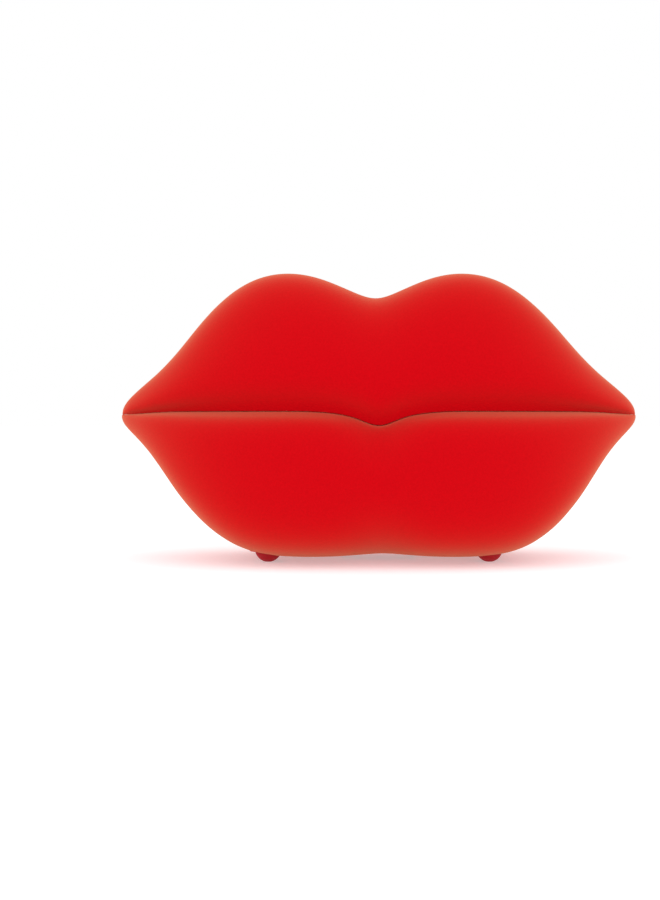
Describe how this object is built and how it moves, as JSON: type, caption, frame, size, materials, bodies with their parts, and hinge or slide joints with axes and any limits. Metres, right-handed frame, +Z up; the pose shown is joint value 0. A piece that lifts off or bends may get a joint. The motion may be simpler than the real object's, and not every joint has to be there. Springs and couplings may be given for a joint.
{
  "type": "novelty shaped telephone",
  "caption": "Desk telephone shaped as a pair of red lips: the upper lip lifts off as the handset, and the lower lip is the base with the keypad under it.",
  "frame": {"origin": "on the desk under the middle of the lips, at the centre of the base of the bounding box", "axes": "+X from the earpiece end to the mouthpiece end, -Y out of the front of the mouth, +Z up"},
  "size_m": [0.24, 0.0967, 0.1279],
  "materials": {
    "lip_red": "matte, soft-touch",
    "trim_red": "satin",
    "black_plastic": "matte",
    "grey_foam": "open-cell foam",
    "steel": "brushed",
    "black_rubber": "matte",
    "circuit_board": "solder mask",
    "socket_black": "satin",
    "lead_black": "satin",
    "screw_steel": "zinc plated",
    "silicone": "matte silicone",
    "spring_steel": "drawn wire",
    "ribbon_grey": "matte",
    "foot_rubber": "matte",
    "key_ivory": "satin"
  },
  "bodies": {
    "base": {"base_shell": "lip_red", "cradle_deck": "trim_red", "keypad_mat": "silicone", "keypad_board": "circuit_board", "keypad_screws": "screw_steel", "hook_spring": "spring_steel", "hook_switch": "black_plastic", "main_board": "circuit_board", "board_parts": "black_plastic", "ringer": "black_plastic", "ribbon_cable": "ribbon_grey", "base_weight": "steel", "rear_panel": "socket_black", "line_jack": "socket_black", "cord_jack": "socket_black", "ringer_switch": "black_plastic", "dial_switch": "black_plastic", "base_screws": "screw_steel", "foot_front_left": "foot_rubber", "foot_front_right": "foot_rubber", "foot_rear_left": "foot_rubber", "foot_rear_right": "foot_rubber"},
    "handset": {"handset_shell": "lip_red", "handset_cover": "trim_red", "earpiece": "black_plastic", "earpiece_gasket": "grey_foam", "microphone": "steel", "microphone_boot": "black_rubber", "handset_weight": "steel", "handset_board": "circuit_board", "handset_jack": "socket_black", "handset_leads": "lead_black", "handset_screws": "screw_steel"},
    "hook_plunger": {"hook_plunger": "key_ivory"},
    "ringer_switch_knob": {"ringer_switch_knob": "key_ivory"},
    "dial_switch_knob": {"dial_switch_knob": "key_ivory"},
    "key_flash": {"key_flash": "key_ivory"},
    "key_redial": {"key_redial": "key_ivory"},
    "key_mute": {"key_mute": "key_ivory"},
    "key_1": {"key_1": "key_ivory"},
    "key_2": {"key_2": "key_ivory"},
    "key_3": {"key_3": "key_ivory"},
    "key_4": {"key_4": "key_ivory"},
    "key_5": {"key_5": "key_ivory"},
    "key_6": {"key_6": "key_ivory"},
    "key_7": {"key_7": "key_ivory"},
    "key_8": {"key_8": "key_ivory"},
    "key_9": {"key_9": "key_ivory"},
    "key_star": {"key_star": "key_ivory"},
    "key_0": {"key_0": "key_ivory"},
    "key_hash": {"key_hash": "key_ivory"}
  },
  "joints": [
    {"name": "handset_lift", "type": "slide", "parent": "base", "child": "handset", "axis": [0, 0, 1], "range_m": [0, 0.11]},
    {"name": "hook_plunger_rise", "type": "slide", "parent": "base", "child": "hook_plunger", "axis": [0, 0, 1], "range_m": [0, 0.004], "deforming": ["hook_spring"]},
    {"name": "key_flash_press", "type": "slide", "parent": "base", "child": "key_flash", "axis": [0, 0, -1], "range_m": [0, 0.0013], "stiffness_N_per_m": 500, "springref_m": -0.0005},
    {"name": "key_redial_press", "type": "slide", "parent": "base", "child": "key_redial", "axis": [0, 0, -1], "range_m": [0, 0.0013], "stiffness_N_per_m": 500, "springref_m": -0.0005},
    {"name": "key_mute_press", "type": "slide", "parent": "base", "child": "key_mute", "axis": [0, 0, -1], "range_m": [0, 0.0013], "stiffness_N_per_m": 500, "springref_m": -0.0005},
    {"name": "key_1_press", "type": "slide", "parent": "base", "child": "key_1", "axis": [0, 0, -1], "range_m": [0, 0.0013], "stiffness_N_per_m": 500, "springref_m": -0.0005},
    {"name": "key_2_press", "type": "slide", "parent": "base", "child": "key_2", "axis": [0, 0, -1], "range_m": [0, 0.0013], "stiffness_N_per_m": 500, "springref_m": -0.0005},
    {"name": "key_3_press", "type": "slide", "parent": "base", "child": "key_3", "axis": [0, 0, -1], "range_m": [0, 0.0013], "stiffness_N_per_m": 500, "springref_m": -0.0005},
    {"name": "key_4_press", "type": "slide", "parent": "base", "child": "key_4", "axis": [0, 0, -1], "range_m": [0, 0.0013], "stiffness_N_per_m": 500, "springref_m": -0.0005},
    {"name": "key_5_press", "type": "slide", "parent": "base", "child": "key_5", "axis": [0, 0, -1], "range_m": [0, 0.0013], "stiffness_N_per_m": 500, "springref_m": -0.0005},
    {"name": "key_6_press", "type": "slide", "parent": "base", "child": "key_6", "axis": [0, 0, -1], "range_m": [0, 0.0013], "stiffness_N_per_m": 500, "springref_m": -0.0005},
    {"name": "key_7_press", "type": "slide", "parent": "base", "child": "key_7", "axis": [0, 0, -1], "range_m": [0, 0.0013], "stiffness_N_per_m": 500, "springref_m": -0.0005},
    {"name": "key_8_press", "type": "slide", "parent": "base", "child": "key_8", "axis": [0, 0, -1], "range_m": [0, 0.0013], "stiffness_N_per_m": 500, "springref_m": -0.0005},
    {"name": "key_9_press", "type": "slide", "parent": "base", "child": "key_9", "axis": [0, 0, -1], "range_m": [0, 0.0013], "stiffness_N_per_m": 500, "springref_m": -0.0005},
    {"name": "key_star_press", "type": "slide", "parent": "base", "child": "key_star", "axis": [0, 0, -1], "range_m": [0, 0.0013], "stiffness_N_per_m": 500, "springref_m": -0.0005},
    {"name": "key_0_press", "type": "slide", "parent": "base", "child": "key_0", "axis": [0, 0, -1], "range_m": [0, 0.0013], "stiffness_N_per_m": 500, "springref_m": -0.0005},
    {"name": "key_hash_press", "type": "slide", "parent": "base", "child": "key_hash", "axis": [0, 0, -1], "range_m": [0, 0.0013], "stiffness_N_per_m": 500, "springref_m": -0.0005},
    {"name": "ringer_switch_slide", "type": "slide", "parent": "base", "child": "ringer_switch_knob", "axis": [1, 0, 0], "range_m": [0, 0.0036]},
    {"name": "dial_switch_slide", "type": "slide", "parent": "base", "child": "dial_switch_knob", "axis": [1, 0, 0], "range_m": [0, 0.0036]}
  ],
  "couplings": [
    {"joint": "hook_plunger_rise", "follows": "handset_lift", "ratio": 0.03636}
  ]
}
